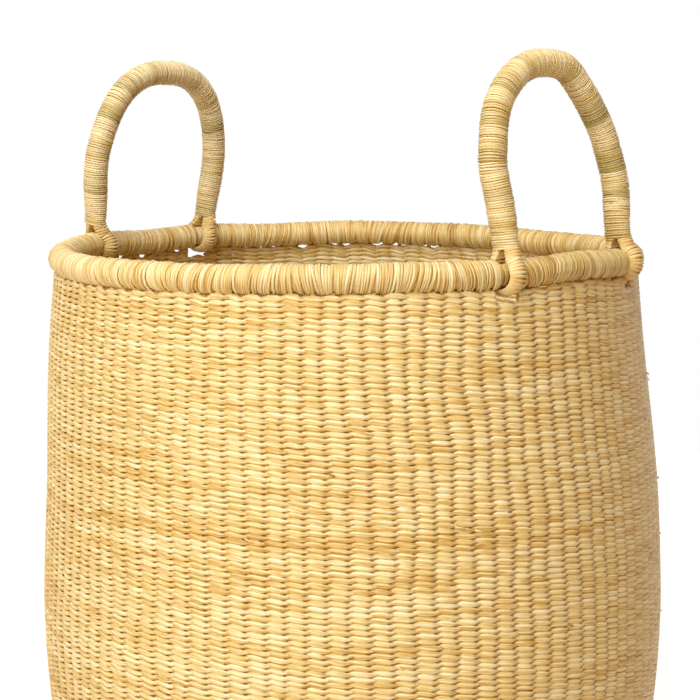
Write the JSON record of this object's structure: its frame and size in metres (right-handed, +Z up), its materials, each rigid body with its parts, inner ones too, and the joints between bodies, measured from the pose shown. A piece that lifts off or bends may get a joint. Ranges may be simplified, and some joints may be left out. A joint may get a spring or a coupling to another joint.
{
  "type": "laundry basket",
  "caption": "Round barrel-shaped laundry basket woven from grass straw, open at the top, with a thick wrapped rim roll and upright wrapped arch handles that swing on the rim.",
  "frame": {"origin": "on the floor, under the middle of the base", "axes": "+Z up, +X to the right handle, -Y to the front"},
  "size_m": [0.446, 0.446, 0.5779],
  "materials": {
    "weave_straw": "matte",
    "rim_straw": "matte",
    "handle_straw": "matte",
    "green_straw": "matte",
    "bundle_grass": "matte"
  },
  "bodies": {
    "basket": {"base_weave": "weave_straw", "wall_weave": "weave_straw", "rim_core": "bundle_grass", "rim_wrap_01": "rim_straw", "rim_wrap_02": "rim_straw", "rim_wrap_03": "rim_straw", "rim_wrap_04": "rim_straw", "rim_wrap_05": "rim_straw", "rim_wrap_06": "rim_straw", "rim_wrap_07": "rim_straw", "rim_wrap_08": "rim_straw", "rim_wrap_09": "rim_straw", "rim_wrap_10": "rim_straw", "rim_wrap_11": "rim_straw", "rim_wrap_12": "rim_straw"},
    "right_handle": {"right_handle_core": "bundle_grass", "right_handle_wrap_01": "handle_straw", "right_handle_wrap_02": "green_straw", "right_handle_wrap_03": "handle_straw", "right_handle_wrap_04": "green_straw", "right_handle_wrap_05": "handle_straw", "right_handle_wrap_06": "green_straw", "right_handle_wrap_07": "handle_straw", "right_handle_wrap_08": "green_straw", "right_handle_wrap_09": "handle_straw", "right_handle_wrap_10": "green_straw", "right_handle_wrap_11": "handle_straw", "right_handle_wrap_12": "green_straw", "right_handle_wrap_13": "handle_straw", "right_front_outer_leg": "rim_straw", "right_front_inner_leg": "rim_straw", "right_back_outer_leg": "rim_straw", "right_back_inner_leg": "rim_straw"},
    "left_handle": {"left_handle_core": "bundle_grass", "left_handle_wrap_01": "handle_straw", "left_handle_wrap_02": "green_straw", "left_handle_wrap_03": "handle_straw", "left_handle_wrap_04": "green_straw", "left_handle_wrap_05": "handle_straw", "left_handle_wrap_06": "green_straw", "left_handle_wrap_07": "handle_straw", "left_handle_wrap_08": "green_straw", "left_handle_wrap_09": "handle_straw", "left_handle_wrap_10": "green_straw", "left_handle_wrap_11": "handle_straw", "left_handle_wrap_12": "green_straw", "left_handle_wrap_13": "handle_straw", "left_front_outer_leg": "rim_straw", "left_front_inner_leg": "rim_straw", "left_back_outer_leg": "rim_straw", "left_back_inner_leg": "rim_straw"}
  },
  "joints": [
    {"name": "right_handle_swing", "type": "hinge", "parent": "basket", "child": "right_handle", "pos_m": [0.19029, -0.00831, 0.44], "axis": [0.0436, 0.999, 0], "range_deg": [-70, 90]},
    {"name": "left_handle_swing", "type": "hinge", "parent": "basket", "child": "left_handle", "pos_m": [-0.19029, -0.00831, 0.44], "axis": [0.0436, -0.999, 0], "range_deg": [-70, 90]}
  ]
}
